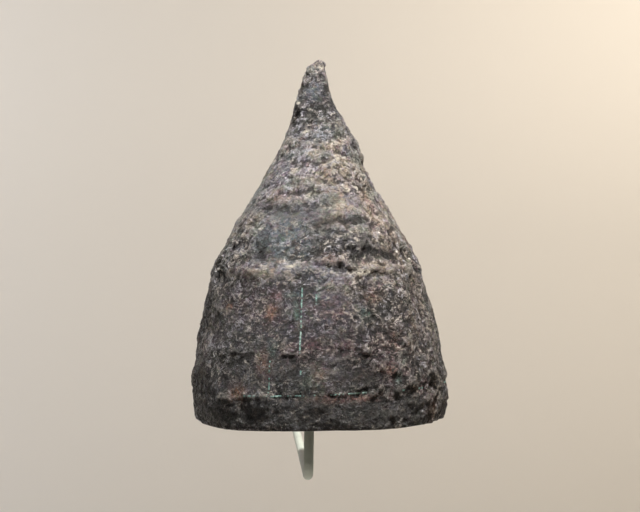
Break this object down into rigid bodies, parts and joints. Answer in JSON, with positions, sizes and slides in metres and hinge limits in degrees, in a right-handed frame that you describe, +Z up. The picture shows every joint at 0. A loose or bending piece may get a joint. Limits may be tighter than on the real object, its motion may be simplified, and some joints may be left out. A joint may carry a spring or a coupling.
{
  "type": "iron helmet on a display rod",
  "caption": "Tall pointed iron helmet, hollow and corroded, with thin copper-alloy inlay strips, carried on the upturned end of a bent wall rod.",
  "frame": {"origin": "centre of the rod's flat rear end, where the rod leaves the wall", "axes": "+Z up, +Y along the rod's arm into the wall, the helmet's front towards -Y"},
  "size_m": [0.2178, 0.4667, 0.3618],
  "materials": {
    "corroded_iron": "corroded and rough, purple-brown to grey, with rust and pale mineral crust",
    "verdigris_copper_alloy": "blue-green corrosion",
    "painted_steel": "satin, pale grey"
  },
  "bodies": {
    "root": {"iron_shell": "corroded_iron", "rim_inlay_ring": "verdigris_copper_alloy", "front_inlay_left": "verdigris_copper_alloy", "front_inlay_right": "verdigris_copper_alloy", "panel_inlay_inner": "verdigris_copper_alloy", "panel_inlay_outer": "verdigris_copper_alloy", "stand_rod": "painted_steel"}
  },
  "joints": []
}
